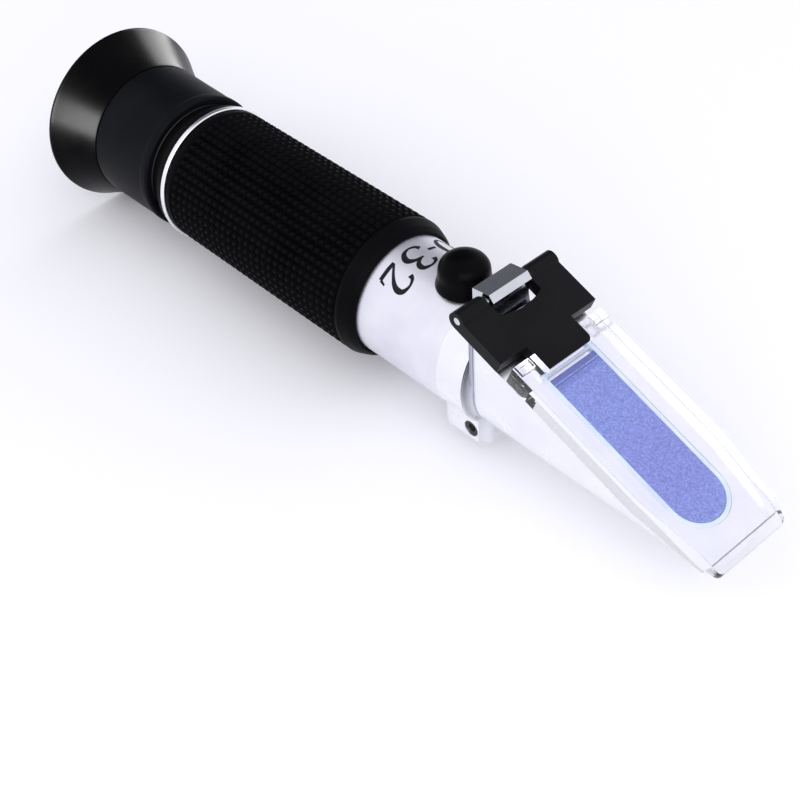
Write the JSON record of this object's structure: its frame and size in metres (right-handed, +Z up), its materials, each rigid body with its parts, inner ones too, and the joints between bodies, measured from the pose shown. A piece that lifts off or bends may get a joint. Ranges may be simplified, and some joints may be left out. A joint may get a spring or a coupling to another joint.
{
  "type": "hand-held refractometer",
  "caption": "Tubular hand-held refractometer with eyecup and focus ring, rubber grip, hinged daylight plate over a sloping prism, and a capped calibration screw.",
  "frame": {"origin": "on the optical axis, in the plane of the eyecup's rim", "axes": "+X along the optical axis from the eyecup to the prism tip, +Z up through the calibration cap, so the foot pad faces -Z"},
  "size_m": [0.1722, 0.038, 0.038],
  "materials": {
    "cup_rubber": "glossy",
    "black_ring": "satin",
    "black_sleeve": "matt",
    "inner_black": "matt",
    "lens_glass": "polished",
    "prism_glass": "polished",
    "bright_trim": "turned",
    "grip_rubber": "matt",
    "barrel_alloy": "satin anodised",
    "head_alloy": "satin cast",
    "seal_cement": "matt",
    "o_ring_rubber": "matt",
    "cap_rubber": "satin",
    "hinge_black": "satin",
    "lug_nickel": "polished",
    "pin_steel": "bright",
    "screw_black": "black oxide",
    "screw_steel": "plain",
    "brass": "turned",
    "bimetal": "rolled",
    "clear_plate": "clear"
  },
  "bodies": {
    "body": {"eyepiece_sleeve": "black_sleeve", "guide_key": "screw_steel", "focus_o_ring": "o_ring_rubber", "trim_ring": "bright_trim", "rubber_grip": "grip_rubber", "body_tube": "barrel_alloy", "head_o_ring": "o_ring_rubber", "reticle_holder": "inner_black", "reticle": "lens_glass", "reticle_ring": "inner_black", "baffle_rear": "inner_black", "baffle_front": "inner_black", "calibration_bush": "bright_trim", "prism_head": "head_alloy", "main_prism": "prism_glass", "prism_seal": "seal_cement", "head_set_screws": "screw_steel", "foot_screws": "screw_black", "hinge_lug": "lug_nickel", "lug_screws": "screw_steel", "hinge_pin": "pin_steel"},
    "eyepiece": {"lens_cell": "inner_black", "eye_lens": "lens_glass", "lens_spacer": "inner_black", "field_lens": "lens_glass", "lens_retainer": "inner_black"},
    "focus": {"focus_ring": "black_ring", "eyecup": "cup_rubber"},
    "objective": {"objective_carriage": "brass", "bimetal_strip": "bimetal", "strip_screws": "screw_steel", "objective_cell": "inner_black", "objective_lens": "lens_glass"},
    "calibration": {"calibration_screw": "brass"},
    "cap": {"calibration_cap": "cap_rubber"},
    "daylight": {"hinge_block": "hinge_black", "daylight_plate": "clear_plate", "plate_screws": "screw_steel"}
  },
  "joints": [
    {"name": "focus_travel", "type": "slide", "parent": "body", "child": "eyepiece", "axis": [1, 0, 0], "range_m": [-0.0015, 0.0015]},
    {"name": "focus_turn", "type": "hinge", "parent": "eyepiece", "child": "focus", "pos_m": [0.02, 0, 0], "axis": [1, 0, 0], "range_deg": [-135, 135]},
    {"name": "calibration_turn", "type": "hinge", "parent": "body", "child": "calibration", "pos_m": [0.1063, 0, 0.0149], "axis": [0, 0, 1], "range_deg": [-360, 360]},
    {"name": "objective_shift", "type": "slide", "parent": "body", "child": "objective", "axis": [0, 0, 1], "range_m": [-0.0004, 0.0004]},
    {"name": "cap_pull", "type": "slide", "parent": "body", "child": "cap", "axis": [0, 0, 1], "range_m": [0, 0.016]},
    {"name": "plate_swing", "type": "hinge", "parent": "body", "child": "daylight", "pos_m": [0.11621, 0, 0.01608], "axis": [0, -1, 0], "range_deg": [0, 110]}
  ],
  "couplings": [
    {"joint": "focus_turn", "follows": "focus_travel", "rad_per_m": 1570},
    {"joint": "calibration_turn", "follows": "objective_shift", "rad_per_m": 15700}
  ]
}
